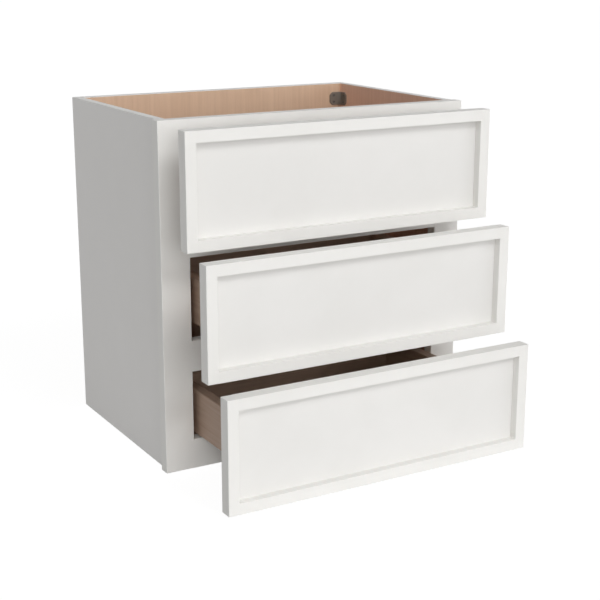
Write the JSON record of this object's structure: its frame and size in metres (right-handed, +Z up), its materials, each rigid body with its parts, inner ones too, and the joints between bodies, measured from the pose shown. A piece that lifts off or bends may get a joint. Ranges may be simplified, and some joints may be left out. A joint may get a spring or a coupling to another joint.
{
  "type": "vanity drawer base cabinet",
  "caption": "Open-topped bathroom vanity base: a painted face-framed case with full-width narrow-shaker drawer fronts on dovetailed boxes and full-extension slides.",
  "frame": {"origin": "centre of the footprint, with the drawers as pictured, on the surface it stands on", "axes": "+X to the right seen from the front, +Y to the wall behind, +Z up"},
  "size_m": [0.762, 0.7894, 0.762],
  "materials": {
    "white_paint": "satin white paint on wood",
    "case_paint": "satin white paint outside, clear-coated wood inside",
    "maple": "clear-coated light wood",
    "steel": "zinc-plated sheet",
    "screw_steel": "zinc-plated",
    "black_plastic": "moulded, matt",
    "clear_rubber": "soft translucent"
  },
  "bodies": {
    "case": {"frame_stile_left": "white_paint", "frame_stile_right": "white_paint", "frame_rail_bottom": "white_paint", "frame_rail_middle_1": "white_paint", "frame_rail_middle_2": "white_paint", "frame_rail_top": "white_paint", "side_left": "case_paint", "side_right": "case_paint", "back_panel": "case_paint", "floor_panel": "maple", "drawer_1_runners": "maple", "drawer_2_runners": "maple", "corner_brackets": "black_plastic", "case_screws": "screw_steel", "drawer_1_slide_fixed": "steel", "drawer_2_slide_fixed": "steel", "drawer_3_slide_fixed": "steel"},
    "drawer_1": {"drawer_1_front_stile_left": "white_paint", "drawer_1_front_stile_right": "white_paint", "drawer_1_front_rail_bottom": "white_paint", "drawer_1_front_rail_top": "white_paint", "drawer_1_front_panel": "white_paint", "drawer_1_bumpers": "clear_rubber", "drawer_1_box_left": "maple", "drawer_1_box_right": "maple", "drawer_1_box_front": "maple", "drawer_1_box_back": "maple", "drawer_1_box_bottom": "maple", "drawer_1_slide_inner": "steel", "drawer_1_screws": "screw_steel"},
    "slide_1_middle": {"drawer_1_slide_middle": "steel"},
    "drawer_2": {"drawer_2_front_stile_left": "white_paint", "drawer_2_front_stile_right": "white_paint", "drawer_2_front_rail_bottom": "white_paint", "drawer_2_front_rail_top": "white_paint", "drawer_2_front_panel": "white_paint", "drawer_2_bumpers": "clear_rubber", "drawer_2_box_left": "maple", "drawer_2_box_right": "maple", "drawer_2_box_front": "maple", "drawer_2_box_back": "maple", "drawer_2_box_bottom": "maple", "drawer_2_slide_inner": "steel", "drawer_2_screws": "screw_steel"},
    "slide_2_middle": {"drawer_2_slide_middle": "steel"},
    "drawer_3": {"drawer_3_front_stile_left": "white_paint", "drawer_3_front_stile_right": "white_paint", "drawer_3_front_rail_bottom": "white_paint", "drawer_3_front_rail_top": "white_paint", "drawer_3_front_panel": "white_paint", "drawer_3_bumpers": "clear_rubber", "drawer_3_box_left": "maple", "drawer_3_box_right": "maple", "drawer_3_box_front": "maple", "drawer_3_box_back": "maple", "drawer_3_box_bottom": "maple", "drawer_3_slide_inner": "steel", "drawer_3_screws": "screw_steel"},
    "slide_3_middle": {"drawer_3_slide_middle": "steel"}
  },
  "joints": [
    {"name": "drawer_1_slide", "type": "slide", "parent": "case", "child": "drawer_1", "axis": [0, -1, 0], "range_m": [-0.0815, 0.2685]},
    {"name": "slide_1_middle_run", "type": "slide", "parent": "case", "child": "slide_1_middle", "axis": [0, -1, 0], "range_m": [-0.04075, 0.13425]},
    {"name": "drawer_2_slide", "type": "slide", "parent": "case", "child": "drawer_2", "axis": [0, -1, 0], "range_m": [-0.1651, 0.1849]},
    {"name": "slide_2_middle_run", "type": "slide", "parent": "case", "child": "slide_2_middle", "axis": [0, -1, 0], "range_m": [-0.08255, 0.09245]},
    {"name": "drawer_3_slide", "type": "slide", "parent": "case", "child": "drawer_3", "axis": [0, -1, 0], "range_m": [-0.2487, 0.1013]},
    {"name": "slide_3_middle_run", "type": "slide", "parent": "case", "child": "slide_3_middle", "axis": [0, -1, 0], "range_m": [-0.12435, 0.05065]}
  ],
  "couplings": [
    {"joint": "slide_1_middle_run", "follows": "drawer_1_slide", "ratio": 0.5},
    {"joint": "slide_2_middle_run", "follows": "drawer_2_slide", "ratio": 0.5},
    {"joint": "slide_3_middle_run", "follows": "drawer_3_slide", "ratio": 0.5}
  ]
}
